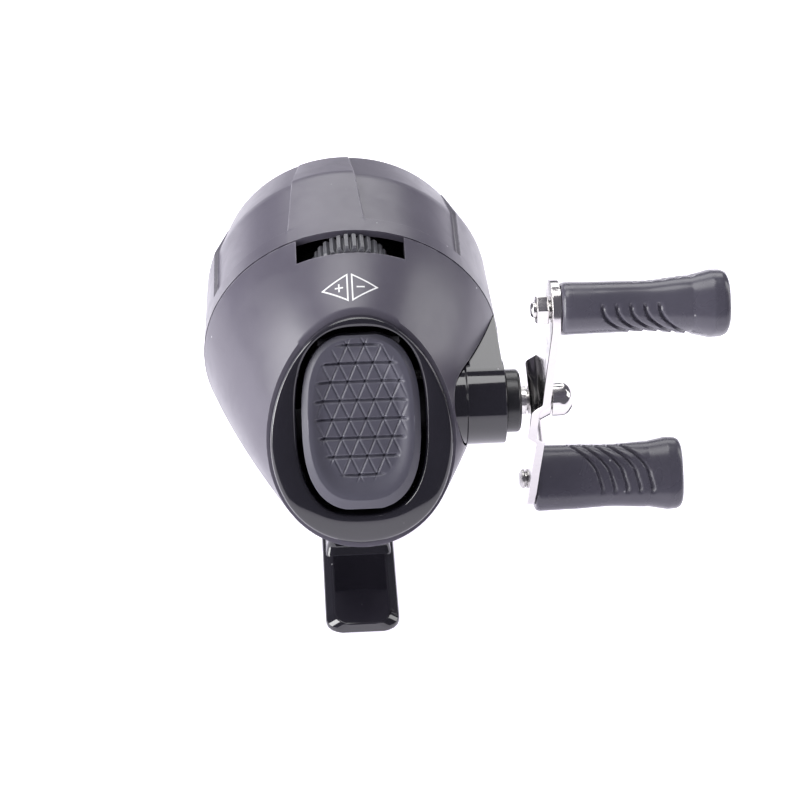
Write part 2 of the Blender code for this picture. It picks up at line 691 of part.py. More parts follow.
def spinner_head():
    outer = [(31.6, 1.6), (31.6, 20.5), (31.0, 22.6), (29.4, 24.0), (19.0, 24.2), (19.0, 22.9), (29.0, 22.7)]
    inner = [(30.1, 21.0), (30.1, 4.2), (28.0, 4.2), (28.0, 1.6)]
    head = turned("spinner_head", outer + inner, "Y", (0, 0, AXIS_Z), CHROME, facets=28)
    for name, sign in PINS:
        low, high = sorted((19.0 * sign, 28.0 * sign))
        cut(head, rod(f"{name}_pin_hole", "Z", low, high, 1.0, (0, PIN_Y, AXIS_Z), facets=12))


def pickup_pins():
    for name, sign in PINS:
        low, high = sorted((22.2 * sign, 25.9 * sign))
        rod(f"pickup_pin_{name}", "Z", low, high, 0.7, (0, PIN_Y, AXIS_Z), STEEL, facets=12)


def return_spring():
    data = bpy.data.curves.new("return_spring", "CURVE")
    data.dimensions = "3D"
    data.bevel_depth = 0.25 * MM
    data.bevel_resolution = 1
    data.use_fill_caps = True
    turns, steps = 5, 10
    spline = data.splines.new("POLY")
    spline.points.add(turns * steps)
    for i, point in enumerate(spline.points):
        share = i / (turns * steps)
        x, z = polar(1.95, 360 * turns * share)
        point.co = (x * MM, (-9.4 + 6.7 * share) * MM, z * MM, 1)
    place(add("return_spring", data, STEEL), (0, 0, AXIS_Z))


def spool():
    front = [(24.0, 5.3), (24.0, 21.0), (23.6, 21.5), (22.6, 21.5), (22.3, 11.5)]
    rear = [(12.3, 11.5), (12.0, 21.5), (11.0, 21.5), (10.6, 21.0), (10.6, 9.0), (8.0, 9.0), (8.0, 5.3)]
    turned("spool", front + rear, "Y", (0, 0, AXIS_Z), DIECAST, facets=24)


# ---------------------------------------------------------------- drag
def spur(count, root, tip, width):
    """The outline of a spur wheel with straight teeth of one width."""
    outline = []
    for i in range(count):
        middle = 360 / count * i
        for radius, side in ((root, -1), (tip, -1), (tip, 1), (root, 1)):
            half = math.degrees(math.asin(width / 2 / radius))
            outline.append(polar(radius, middle + side * half))
    return outline


def half_tooth(outline, count):
    """The outline turned by half a tooth."""
    turn = math.pi / count
    c, s = math.cos(turn), math.sin(turn)
    return [(u * c - v * s, u * s + v * c) for u, v in outline]


def drag():
    wheel_at = (0, 7.5, AXIS_Z + WHEEL_UP)
    wheel = spur(WHEEL_TEETH, 7.4, 8.5, 0.5)
    flat("drag_wheel", [wheel, ring_of(1.5, 16)], 5.2, "Y", wheel_at, BUTTON_PLASTIC)
    rod("drag_wheel_pin", "Y", 2.3, 11.6, 1.2, (0, 0, AXIS_Z + WHEEL_UP), STEEL, facets=12)
    gear = half_tooth(spur(DRAG_TEETH, 14.5, 15.8, 0.5), DRAG_TEETH)
    flat("drag_gear", [gear, ring_of(5.3, 24)], 1.6, "Y", (0, 5.7, AXIS_Z), BRASS)
    profile = ((7.7, 5.3), (7.4, 11.0), (6.8, 11.0), (7.1, 5.3))
    turned("drag_washer", profile, "Y", (0, 0, AXIS_Z), STEEL, facets=28)


def hinge_pin():
    rod("button_hinge_pin", "X", -8.4, 8.4, 0.9, on_face(0, HINGE_UP, HINGE_IN), STEEL, facets=12)


rear_shell()
rear_bezel()
thumb_button()
hinge_pin()
main_frame()
front_cover()
line_guide()
reel_foot()
screws()
crank_shaft()
crank_bushing()
main_gear()
pinion_gear()
ratchet_wheel()
handle_arm()
arm_fasteners()
for knob_name, knob_sign in KNOBS:
    knob(knob_name, knob_sign)
knob_spindles()
pawl()
centre_line()
spinner_head()
pickup_pins()
return_spring()
spool()
drag()
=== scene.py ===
# %% [markdown]
# # A spincast reel
# The reel is a round body behind a five-spoked nose, with a slanted rear face that holds the thumb button,
# a crank with two paddle knobs on the right and a flat foot below. The solids that work are loaded first as a
# fixed frame. This script then gives each piece that shows a finer skin, and every piece its finish.

# %% Load the frame
import json
import math

import bmesh
import bpy
from mathutils import Matrix, Vector


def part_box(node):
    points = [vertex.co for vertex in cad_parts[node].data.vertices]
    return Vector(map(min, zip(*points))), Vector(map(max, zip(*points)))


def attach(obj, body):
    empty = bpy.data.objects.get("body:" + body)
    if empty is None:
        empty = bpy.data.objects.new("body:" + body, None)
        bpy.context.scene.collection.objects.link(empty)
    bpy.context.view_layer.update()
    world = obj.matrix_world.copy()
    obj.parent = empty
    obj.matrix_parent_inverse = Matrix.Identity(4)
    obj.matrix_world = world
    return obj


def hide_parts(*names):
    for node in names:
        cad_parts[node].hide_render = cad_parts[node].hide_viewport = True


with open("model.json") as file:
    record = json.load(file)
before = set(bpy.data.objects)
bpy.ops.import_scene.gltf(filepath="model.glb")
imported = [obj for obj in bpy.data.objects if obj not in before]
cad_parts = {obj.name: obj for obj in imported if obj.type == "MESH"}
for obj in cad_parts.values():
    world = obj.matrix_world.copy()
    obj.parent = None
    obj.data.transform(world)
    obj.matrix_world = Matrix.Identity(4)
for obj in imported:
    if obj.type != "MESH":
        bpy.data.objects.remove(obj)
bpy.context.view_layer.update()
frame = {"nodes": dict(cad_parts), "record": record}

MM = 0.001


# %% [markdown]
# ## Places
# The sizes that tie the pieces together come out of the frame, so a skin always fits the solid below it. They
# are turned into millimetres here, because that is the unit that a reel is drawn in.

# %% Read the driving sizes off the frame
def size_of(node):
    """The lowest and highest corners of a node, in millimetres."""
    return [Vector(corner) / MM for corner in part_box(node)]


JOINTS = {joint["name"]: joint for joint in frame["record"]["behaviour"]["joints"]}
COVER_LOW, COVER_HIGH = size_of("front_cover")
BODY_R = (COVER_HIGH.x - COVER_LOW.x) / 2
AXIS_Z = (COVER_HIGH.z + COVER_LOW.z) / 2
GAP = 0.3
SEAM_Y = COVER_LOW.y - GAP / 2
CRANK = Vector(JOINTS["crank_spin"]["pos_m"]) / MM
HINGE = Vector(JOINTS["button_press"]["pos_m"]) / MM
print(f"body radius {BODY_R:.2f}, axis {AXIS_Z:.2f} up, seam at {SEAM_Y:.2f}, crank at {CRANK.y:.2f}")

# %% [markdown]
# The rear face leans forward. Everything on it is laid out in the face's own directions, across, up and out,
# and this helper turns them into places in the frame. The bezel's outline and the casing's rear edge are both an
# egg that is a little narrower at the top.

# %% The slanted rear face
TILT = math.radians(24.5)
FACE_OUT = Vector((0, -math.cos(TILT), math.sin(TILT)))
FACE_UP = Vector((0, math.sin(TILT), math.cos(TILT)))
HINGE_UP = 18.8
HINGE_IN = -2.8
FACE_CENTRE = HINGE - FACE_UP * HINGE_UP - FACE_OUT * HINGE_IN
BEZEL_SIZE = (18.9, 24.5)
OPENING_SIZE = (13.5, 20.2)
BUTTON_SIZE = (12.3, 18.5)
OPENING_UP = 2.3
EGG_TAPER = 0.095


def on_face(across, up, out):
    return FACE_CENTRE + Vector((across, 0, 0)) + FACE_UP * up + FACE_OUT * out


def egg(size, angle, up=0.0):
    """A point on an egg-shaped outline, as (across, up)."""
    width = size[0] * math.cos(angle) * (1 - EGG_TAPER * math.sin(angle))
    return width, size[1] * math.sin(angle) + up


def turns(count):
    return [2 * math.pi * (i + 0.5) / count for i in range(count)]


print(f"the rear face's centre is at {tuple(round(c, 2) for c in FACE_CENTRE)}")


# %% [markdown]
# ## Modelling helpers
# An operator acts on whatever is selected, so each helper starts by clearing the selection. Most of the reel's
# skins change section as they go. They could be sculpted from a cylinder, but the sections would be hard to
# hold. So a circle primitive is laid on the first section, and its edge loop is extruded and laid on each next
# one, which is how a person would pull out a loft by hand.

# %% Selecting and growing
def only(obj):
    """Select this object alone, in object mode."""
    if bpy.context.mode != "OBJECT":
        bpy.ops.object.mode_set(mode="OBJECT")
    bpy.ops.object.select_all(action="DESELECT")
    if obj is not None:
        obj.select_set(True)
        bpy.context.view_layer.objects.active = obj


def follow(obj, loop, ring):
    """Lay the loop that was just extruded on the next ring, and return its points' numbers."""
    mesh = bmesh.from_edit_mesh(obj.data)
    mesh.verts.ensure_lookup_table()
    mesh.verts.index_update()
    numbers = []
    for number, place in zip(loop, ring):
        old = mesh.verts[number]
        new = next(e.other_vert(old) for e in old.link_edges if e.other_vert(old).select)
        new.co = Vector(place) * MM
        numbers.append(new.index)
    bmesh.update_edit_mesh(obj.data)
    return numbers


def pick(obj, numbers):
    """Select these points, and the edges between them, in edit mode."""
    bpy.ops.mesh.select_mode(type="VERT")
    bpy.ops.mesh.select_all(action="DESELECT")
    mesh = bmesh.from_edit_mesh(obj.data)
    mesh.verts.ensure_lookup_table()
    for number in numbers:
        mesh.verts[number].select = True
    mesh.select_flush(True)
    bmesh.update_edit_mesh(obj.data)


def grown(name, rings, closed=False):
    """Extrude a loop through the rings. Closed joins the last ring to the first, otherwise the ends are capped."""
    only(None)
    count = len(rings[0])
    bpy.ops.mesh.primitive_circle_add(vertices=count, radius=1.0)
    obj = bpy.context.object
    obj.name = obj.data.name = name
    for vertex, place in zip(obj.data.vertices, rings[0]):
        vertex.co = Vector(place) * MM
    bpy.ops.object.mode_set(mode="EDIT")
    bpy.ops.mesh.select_mode(type="VERT")
    bpy.ops.mesh.select_all(action="SELECT")
    first = loop = list(range(count))
    for ring in rings[1:]:
        bpy.ops.mesh.extrude_edges_move()
        loop = follow(obj, loop, ring)
    if closed:
        pick(obj, first + loop)
        bpy.ops.mesh.bridge_edge_loops()
    else:
        for end in (first, loop):
            pick(obj, end)
            bpy.ops.mesh.edge_face_add()
    bpy.ops.mesh.select_all(action="SELECT")
    bpy.ops.mesh.normals_make_consistent(inside=False)
    bpy.ops.object.mode_set(mode="OBJECT")
    return obj


# %% [markdown]
# Moulded and turned edges are never sharp. A turned profile gets its corners rounded before it is grown, and a
# piece that has been cut gets a Bevel on what is still sharp. Cuts use the exact Boolean and are applied at
# once, with the cutter thrown away.

# %% Rounding, cutting and softening
def rounded(points, radius, steps=4, closed=True):
    """The outline with each corner replaced by a short curve."""
    result = []
    count = len(points)
    for i, corner in enumerate(points):
        if not closed and i in (0, count - 1):
            result.append(tuple(corner))
            continue
        here = Vector(corner)
        before = Vector(points[i - 1]) - here
        after = Vector(points[(i + 1) % count]) - here
        reach = min(radius, before.length * 0.45, after.length * 0.45)
        start = here + before.normalized() * reach
        end = here + after.normalized() * reach
        for step in range(steps + 1):
            t = step / steps
            result.append(tuple(start * (1 - t) ** 2 + here * 2 * t * (1 - t) + end * t ** 2))
    return result


def about(axis, at, along, radius, angle):
    """A point at this distance along an axis, this far from it."""
    u, v = radius * math.cos(angle), radius * math.sin(angle)
    turn = {"X": (along, u, v), "Y": (u, along, v), "Z": (u, v, along)}[axis]
    return Vector(at) + Vector(turn)


def spun(name, profile, axis, at, count=64, closed=True):
    """A turned piece from (along, radius) points."""
    rings = [[about(axis, at, along, radius, a) for a in turns(count)] for along, radius in profile]
    return grown(name, rings, closed)


def apply(obj, kind, **settings):
    """Add a modifier with these settings and apply it."""
    modifier = obj.modifiers.new(kind.lower(), kind)
    for key, value in settings.items():
        setattr(modifier, key, value)
    only(obj)
    bpy.ops.object.modifier_apply(modifier=modifier.name)
    return obj


def carve(obj, cutter, operation="DIFFERENCE"):
    apply(obj, "BOOLEAN", operation=operation, object=cutter)
    bpy.data.objects.remove(cutter)
    return obj


def block(name, low, high):
    """A box between two corners, from a cube primitive."""
    only(None)
    low, high = Vector(low) * MM, Vector(high) * MM
    bpy.ops.mesh.primitive_cube_add(size=1.0, location=(low + high) / 2)
    obj = bpy.context.object
    obj.name = obj.data.name = name
    obj.scale = high - low
    bpy.ops.object.transform_apply(location=True, rotation=True, scale=True)
    return obj


def bar(name, axis, start, end, radius, at, count=48):
    """A plain round bar, used to cut or to join."""
    return spun(name, [(start, radius), (end, radius)], axis, at, count, closed=False)


def soften(obj, width=0.0, angle=32, segments=2):
    """Round what is still sharp, then shade it smooth up to an angle."""
    if width:
        apply(obj, "BEVEL", width=width * MM, segments=segments, limit_method="ANGLE",
              angle_limit=math.radians(angle), use_clamp_overlap=True)
    only(obj)
    bpy.ops.object.shade_smooth_by_angle(angle=math.radians(angle))
    apply(obj, "WEIGHTED_NORMAL", keep_sharp=True)
    return obj


def refined(node, name, width, angle=32):
    """A copy of a frame solid with its loose triangles merged, flat faces joined and edges rounded."""
    source = frame["nodes"][node]
    copy = bpy.data.objects.new(name, source.data.copy())
    copy.data.name = name
    bpy.context.scene.collection.objects.link(copy)
    only(copy)
    bpy.ops.object.mode_set(mode="EDIT")
    bpy.ops.mesh.select_all(action="SELECT")
    bpy.ops.mesh.remove_doubles(threshold=1e-6)
    bpy.ops.mesh.dissolve_limited(angle_limit=math.radians(1.0))
    bpy.ops.object.mode_set(mode="OBJECT")
    copy.data.materials.clear()
    return soften(copy, width, angle)


# %% [markdown]
# Once a piece has its shape it gets its finish, the body it moves with and the solid it stands for. One helper
# says all three, so none is forgotten, and prints what was made.

# %% Handing a piece over
def hand_over(piece, finish, body, node):
    piece.data.materials.clear()
    piece.data.materials.append(finish)
    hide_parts(node)
    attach(piece, body)
    piece.data.calc_loop_triangles()
    print(f"{piece.name}: {len(piece.data.loop_triangles)} triangles, rides on {body}")
    return piece


# %% [markdown]
# ## Finishes
# Moulded plastic looks flat under a single colour. Real plastic has a fine spark-eroded grain, a slow change in
# tone where the melt flowed, paler rubbed edges and a few specks of dust. Those effects are shared by every
# finish on the reel, so each is a node group that is built once. A group puts out only masks and heights, and
# the shader itself stays in the material.

# %% Node helpers
def node(tree, kind, inputs=None, **settings):
    """A node with its settings, and its inputs given as values or as sockets to link."""
    made = tree.nodes.new(kind)
    for key, value in settings.items():
        setattr(made, key, value)
    for key, value in (inputs or {}).items():
        if isinstance(value, bpy.types.NodeSocket):
            tree.links.new(value, made.inputs[key])
        else:
            made.inputs[key].default_value = value
    return made


def ramp(tree, source, low, high):
    """Stretch a value so that low becomes 0 and high becomes 1."""
    return node(tree, "ShaderNodeMapRange", {"Value": source, "From Min": low, "From Max": high}).outputs[0]


def blend(tree, factor, first, second):
    """Mix two colours, each a tuple or a socket."""
    mix = tree.nodes.new("ShaderNodeMix")
    mix.data_type = "RGBA"
    tree.links.new(factor, mix.inputs["Factor"])
    for socket, value in ((mix.inputs[6], first), (mix.inputs[7], second)):
        if isinstance(value, bpy.types.NodeSocket):
            tree.links.new(value, socket)
        else:
            socket.default_value = (*value, 1.0)
    return mix.outputs[2]


def group(name, inputs, outputs):
    """An empty node group with number sockets. Returns its tree, its input node and its output node."""
    tree = bpy.data.node_groups.new(name, "ShaderNodeTree")
    for label, value in inputs:
        socket = tree.interface.new_socket(label, in_out="INPUT", socket_type="NodeSocketFloat")
        socket.default_value = value
    for label in outputs:
        tree.interface.new_socket(label, in_out="OUTPUT", socket_type="NodeSocketFloat")
    return tree, tree.nodes.new("NodeGroupInput"), tree.nodes.new("NodeGroupOutput")


# %% Moulded grain and slow tone
def grain_group():
    tree, given, out = group("moulded_grain", [("Grain Scale", 2600.0), ("Tone Scale", 55.0)], ["Height", "Tone"])
    place = node(tree, "ShaderNodeTexCoord").outputs["Object"]
    fine = node(tree, "ShaderNodeTexNoise",
                {"Vector": place, "Scale": given.outputs["Grain Scale"], "Detail": 3.0, "Roughness": 0.6})
    slow = node(tree, "ShaderNodeTexNoise",
                {"Vector": place, "Scale": given.outputs["Tone Scale"], "Detail": 4.0, "Roughness": 0.55})
    tree.links.new(fine.outputs["Fac"], out.inputs["Height"])
    tree.links.new(ramp(tree, slow.outputs["Fac"], 0.3, 0.7), out.inputs["Tone"])
    return tree


GRAIN = grain_group()


# %% [markdown]
# Wear sits on outward edges. The Bevel node gives the normal that a rounded edge would have. Where it turns away
# from the true one there is an edge, and noise breaks the band up, because hands never rub evenly.

# %% Rubbed edges
def wear_group():
    tree, given, out = group("rubbed_edges", [("Break Scale", 420.0)], ["Mask"])
    place = node(tree, "ShaderNodeTexCoord").outputs["Object"]
    round_normal = node(tree, "ShaderNodeBevel", {"Radius": 0.0004}, samples=4).outputs["Normal"]
    flat_normal = node(tree, "ShaderNodeNewGeometry").outputs["Normal"]
    turn = node(tree, "ShaderNodeVectorMath", {0: round_normal, 1: flat_normal}, operation="DOT_PRODUCT")
    edge = node(tree, "ShaderNodeMapRange",
                {"Value": turn.outputs["Value"], "From Min": 0.995, "From Max": 0.93}).outputs[0]
    patches = node(tree, "ShaderNodeTexNoise",
                   {"Vector": place, "Scale": given.outputs["Break Scale"], "Detail": 5.0})
    broken = node(tree, "ShaderNodeMath", {0: edge, 1: ramp(tree, patches.outputs["Fac"], 0.35, 0.65)},
                  operation="MULTIPLY")
    tree.links.new(broken.outputs[0], out.inputs["Mask"])
    return tree


WEAR = wear_group()


# %% Hairline scratches and dust
def marks_group():
    tree, given, out = group("handling_marks", [("Dust Scale", 330.0)], ["Scratches", "Dust", "Smudge"])
    place = node(tree, "ShaderNodeTexCoord").outputs["Object"]
    drawn = node(tree, "ShaderNodeMapping", {"Vector": place, "Rotation": (0.3, 0.9, 0.5), "Scale": (1, 18, 1)})
    hair = node(tree, "ShaderNodeTexNoise", {"Vector": drawn.outputs[0], "Scale": 260.0, "Detail": 6.0})
    specks = node(tree, "ShaderNodeTexVoronoi", {"Vector": place, "Scale": given.outputs["Dust Scale"]})
    chosen = node(tree, "ShaderNodeSeparateColor", {0: specks.outputs["Color"]})
    few = ramp(tree, chosen.outputs[0], 0.955, 0.96)
    small = node(tree, "ShaderNodeMapRange",
                 {"Value": specks.outputs["Distance"], "From Min": 0.09, "From Max": 0.05}).outputs[0]
    dust = node(tree, "ShaderNodeMath", {0: few, 1: small}, operation="MULTIPLY")
    smear = node(tree, "ShaderNodeTexNoise", {"Vector": place, "Scale": 130.0, "Detail": 3.0, "Distortion": 1.2})
    tree.links.new(ramp(tree, hair.outputs["Fac"], 0.66, 0.72), out.inputs["Scratches"])
    tree.links.new(dust.outputs[0], out.inputs["Dust"])
    tree.links.new(ramp(tree, smear.outputs["Fac"], 0.4, 0.75), out.inputs["Smudge"])
    return tree


MARKS = marks_group()


# %% [markdown]
# One recipe makes all the plastics, and a second makes all the metals. They differ in how dark, how rough and
# how strongly grained they are, so those are the arguments.

# %% The plastic recipe
def placed_group(tree, which, **values):
    made = node(tree, "ShaderNodeGroup", node_tree=which)
    for key, value in values.items():
        made.inputs[key.replace("_", " ")].default_value = value
    return made


def start_material(name):
    made = bpy.data.materials.new(name)
    made.use_nodes = True
    tree = made.node_tree
    return made, tree, tree.nodes["Principled BSDF"]


def span(tree, factor, low, high):
    """A number that goes from low to high as the factor goes from 0 to 1."""
    return node(tree, "ShaderNodeMapRange", {"Value": factor, "To Min": low, "To Max": high}).outputs[0]


def bumped(tree, shader, height, depth_mm, strength):
    made = node(tree, "ShaderNodeBump", {"Height": height, "Distance": depth_mm * MM, "Strength": strength})
    tree.links.new(made.outputs["Normal"], shader.inputs["Normal"])


def plastic(name, dark, light, worn, rough, depth, grain=2600.0, coat=0.0, dust=0.7):
    made, tree, shader = start_material(name)
    grains = placed_group(tree, GRAIN, Grain_Scale=grain)
    wear = placed_group(tree, WEAR)
    marks = placed_group(tree, MARKS)
    colour = blend(tree, grains.outputs["Tone"], dark, light)
    colour = blend(tree, wear.outputs["Mask"], colour, worn)
    dusted = span(tree, marks.outputs["Dust"], 0.0, dust)
    colour = blend(tree, dusted, colour, (0.45, 0.45, 0.46))
    tree.links.new(colour, shader.inputs["Base Color"])
    tree.links.new(span(tree, marks.outputs["Smudge"], *rough), shader.inputs["Roughness"])
    ridges = node(tree, "ShaderNodeMath", {0: grains.outputs["Height"], 1: marks.outputs["Scratches"]},
                  operation="SUBTRACT")
    bumped(tree, shader, ridges.outputs[0], depth, 0.35)
    shader.inputs["Coat Weight"].default_value = coat
    shader.inputs["Coat Roughness"].default_value = 0.05
    return made


SATIN = plastic("satin_charcoal", (0.076, 0.07, 0.092), (0.094, 0.087, 0.112), (0.19, 0.18, 0.21),
                (0.3, 0.38), 0.012)
GLOSS = plastic("piano_black", (0.009, 0.0085, 0.0125), (0.013, 0.012, 0.017), (0.05, 0.048, 0.06),
                (0.07, 0.14), 0.002, coat=0.5, dust=0.35)
MATTE = plastic("matte_black", (0.012, 0.0115, 0.015), (0.016, 0.0155, 0.02), (0.03, 0.029, 0.035),
                (0.6, 0.75), 0.012)
COLLAR = plastic("collar_black", (0.014, 0.014, 0.016), (0.02, 0.02, 0.023), (0.07, 0.07, 0.075),
                 (0.25, 0.36), 0.006)
PAD = plastic("button_grey", (0.054, 0.052, 0.07), (0.068, 0.066, 0.087), (0.15, 0.15, 0.18), (0.42, 0.52), 0.012)
GRIP = plastic("grip_grey", (0.06, 0.057, 0.075), (0.078, 0.074, 0.095), (0.13, 0.125, 0.15), (0.24, 0.34), 0.01)
WHEEL = plastic("wheel_grey", (0.07, 0.07, 0.08), (0.095, 0.095, 0.105), (0.2, 0.2, 0.21), (0.34, 0.44), 0.01)
ACETAL = plastic("natural_acetal", (0.66, 0.65, 0.6), (0.74, 0.73, 0.68), (0.8, 0.79, 0.75), (0.38, 0.48), 0.008)
PRINT = plastic("white_print", (0.74, 0.74, 0.74), (0.82, 0.82, 0.82), (0.55, 0.55, 0.56), (0.45, 0.6), 0.006)


# %% The metal recipe
def metal(name, dark, light, rough, depth, stretch=(1, 1, 30)):
    made, tree, shader = start_material(name)
    place = node(tree, "ShaderNodeTexCoord").outputs["Object"]
    drawn = node(tree, "ShaderNodeMapping", {"Vector": place, "Scale": stretch})
    lines = node(tree, "ShaderNodeTexNoise", {"Vector": drawn.outputs[0], "Scale": 700.0, "Detail": 4.0})
    marks = placed_group(tree, MARKS)
    wear = placed_group(tree, WEAR)
    colour = blend(tree, lines.outputs["Fac"], dark, light)
    polished = tuple(min(c * 1.15, 0.95) for c in light)
    colour = blend(tree, span(tree, wear.outputs["Mask"], 0.0, 0.5), colour, polished)
    tree.links.new(colour, shader.inputs["Base Color"])
    tree.links.new(span(tree, marks.outputs["Smudge"], *rough), shader.inputs["Roughness"])
    bumped(tree, shader, lines.outputs["Fac"], depth, 0.3)
    shader.inputs["Metallic"].default_value = 1.0
    return made


CHROME = metal("bright_plate", (0.5, 0.48, 0.48), (0.68, 0.66, 0.65), (0.1, 0.2), 0.003)
STEEL = metal("turned_steel", (0.5, 0.49, 0.48), (0.66, 0.65, 0.63), (0.2, 0.34), 0.005)
BRASS = metal("turned_brass", (0.62, 0.44, 0.19), (0.76, 0.57, 0.28), (0.2, 0.34), 0.005)
DIECAST = metal("cast_alloy", (0.4, 0.4, 0.41), (0.52, 0.52, 0.53), (0.36, 0.5), 0.012, stretch=(1, 1, 1))
print(f"{len(bpy.data.materials)} finishes")

# %% [markdown]
# ## Rear casing
# The casing is one thin moulding that starts round at the seam and ends egg-shaped and slanted behind. A
# subdivided cylinder could be pulled into that shape, but its middle sections would be guesswork. Growing it
# through sections that blend from the circle to the egg gives the same skin as the mould. The inner wall is
# grown in the same run, so the shell has a real thickness where the window shows its edge.

# %% Rear casing
WALL = 1.6
SHELL_GROWTH = 1.045
SHELL_EDGE = -2.8
WINDOW_HALF = 11.4
WINDOW_REAR = 4.7
BOSS_R = 9.0


def shell_ring(t, thinner=0.0, count=132):
    """The casing's section a share t of the way from the round seam to the slanted egg."""
    share = t * (1 - 0.32 * (1 - t))
    size = [s * SHELL_GROWTH for s in BEZEL_SIZE]
    ring = []
    for angle in turns(count):
        front = Vector((BODY_R * math.cos(angle), SEAM_Y + GAP, AXIS_Z + BODY_R * math.sin(angle)))
        rear = on_face(*egg(size, angle), SHELL_EDGE)
        gone = rear - front
        ring.append(front + Vector((gone.x * share, gone.y * t, gone.z * share)))
    middle = sum(ring, Vector()) / count
    return [middle + (place - middle) * (1 - thinner / (place - middle).length) for place in ring]


def rear_casing():
    steps = [i / 28 for i in range(29)]
    rings = [shell_ring(t) for t in steps] + [shell_ring(t, WALL) for t in reversed(steps)]
    shell = grown("rear_casing", rings, closed=True)
    side = BOSS_R + GAP
    past = SEAM_Y + 2
    carve(shell, block("trim", (-40, SEAM_Y - GAP / 2, 5), (40, SEAM_Y + 8, 85)))
    carve(shell, block("window", (-WINDOW_HALF, WINDOW_REAR, AXIS_Z + 20), (WINDOW_HALF, past, AXIS_Z + 40)))
    carve(shell, bar("boss_hole", "X", 14, 40, side, (0, CRANK.y, AXIS_Z)))
    carve(shell, block("boss_slot", (14, CRANK.y, AXIS_Z - side), (40, past, AXIS_Z + side)))
    carve(shell, block("stem_slot", (-7.4, -9.0, 4), (7.4, past, 24)))
    soften(shell, 0.22, angle=40)
    return hand_over(shell, SATIN, "root", "rear_shell")


CASING = rear_casing()


# %% [markdown]
# ## Nose cover
# Five wide panels are sunk a little into the nose and leave five spokes between them. Cutting them with Booleans
# leaves ragged edges on a curved skin. Here the columns of points follow the panels' borders instead, four of
# them close together along each, so every step has a crisp, slightly rounded wall and the mesh stays even.

# %% Nose cover
NOSE = [(SEAM_Y + GAP / 2, BODY_R), (34.4, 32.05), (47.1, 28.4), (50.3, 20.0), (52.2, 12.0), (52.6, 5.0)]
PANEL_DEPTH = 0.9
PANEL_START = SEAM_Y + 5.0
PANEL_END = 50.0
CHAMFER_START = 34.4
SPOKES = 5
SPOKE_ANGLE = 99.0
PANEL_WIDTH = (42.0, 50.0)
STEP = ((-0.22, 0.0), (-0.08, 0.12), (0.08, 0.88), (0.22, 1.0))


def panel_half(y):
    """Half of a panel's width in degrees, wider towards the front."""
    share = min(max((y - PANEL_START) / (PANEL_END - PANEL_START), 0), 1)
    return (PANEL_WIDTH[0] + (PANEL_WIDTH[1] - PANEL_WIDTH[0]) * share) / 2


def sector(y, radius):
    """The columns of one spoke and its panel: (angle from the panel's middle, how far down in the panel)."""
    half = panel_half(y)
    edge = 180 / SPOKES
    per_mm = math.degrees(1 / radius)
    left = [(-edge + (edge - half - 0.4 * per_mm) * i / 4, 0.0) for i in range(4)]
    left += [(-half + away * per_mm, down) for away, down in STEP]
    middle = [(-half + 2 * half * i / 17, 1.0) for i in range(1, 17)]
    right = [(-angle, down) for angle, down in reversed(left)]
    return left + middle + right[:-1]


def nose_rows():
    """(y, radius, share of the panel's depth) down the nose's outline, with a step where the panels start."""
    line = rounded(NOSE, 1.2, closed=False)
    rows = [(line[0][0], line[0][1], 0.0)]
    side = [line[0][0] + (line[1][0] - line[0][0]) * i / 24 for i in range(1, 24)]
    here = [PANEL_START + away for away, _ in STEP]
    slope = (line[1][1] - line[0][1]) / (line[1][0] - line[0][0])
    for y in sorted([v for v in side if abs(v - PANEL_START) > 0.5] + here):
        down = dict(zip(here, [d for _, d in STEP])).get(y, 0.0 if y < PANEL_START else 1.0)
        rows.append((y, line[0][1] + slope * (y - line[0][0]), down))
    for y, radius in line[1:]:
        rows.append((y, radius, min(max((radius - 13.0) / 0.8, 0), 1)))
    return rows


def nose_cover():
    rings = []
    rows = nose_rows()
    for number, (y, radius, down) in enumerate(rows):
        before, after = rows[max(number - 1, 0)], rows[min(number + 1, len(rows) - 1)]
        along = Vector((after[0] - before[0], after[1] - before[1])).normalized()
        fade = 1 - 0.8 * min(max((y - CHAMFER_START) / 9, 0), 1)
        ring = []
        for spoke in range(SPOKES):
            middle = SPOKE_ANGLE + (spoke + 0.5) * 360 / SPOKES
            for angle, inside in sector(y, radius):
                drop = PANEL_DEPTH * down * inside * fade
                turn = math.radians(middle + angle)
                far = radius - drop * along.x
                ring.append((far * math.cos(turn), y + drop * along.y, AXIS_Z + far * math.sin(turn)))
        rings.append(ring)
    columns = len(rings[0])
    angles = [math.atan2(z - AXIS_Z, x) for x, _, z in rings[0]]
    back_wall = ((51.0, 5.0), (50.6, 12.0), (48.7, 19.4), (45.6, 26.8), (34.0, 30.4), (SEAM_Y + GAP / 2, 30.9))
    for y, radius in back_wall:
        rings.append([(radius * math.cos(a), y, AXIS_Z + radius * math.sin(a)) for a in angles])
    cover = grown("nose_cover", rings, closed=True)
    soften(cover, angle=34)
    print(f"{columns} columns round the nose")
    return hand_over(cover, SATIN, "root", "front_cover")


nose_cover()


# %% Nose ring
def nose_ring():
    outline = [(54.8, 3.4), (54.8, 5.6), (54.0, 6.4), (53.0, 6.4), (52.9, 4.6), (49.6, 4.6), (49.6, 3.4)]
    ring = spun("nose_ring", rounded(outline, 0.45), "Y", (0, 0, AXIS_Z), 72)
    soften(ring, angle=40)
    return hand_over(ring, CHROME, "root", "line_guide")


nose_ring()


# %% [markdown]
# ## Bezel
# The bezel is a glossy black ring whose face is very slightly crowned. It is narrow at the top and wide at the
# bottom, because the button sits high in it. One section is swept round the egg, and each point of the section
# is a share of the way from the opening to the rim, so the ring widens by itself.

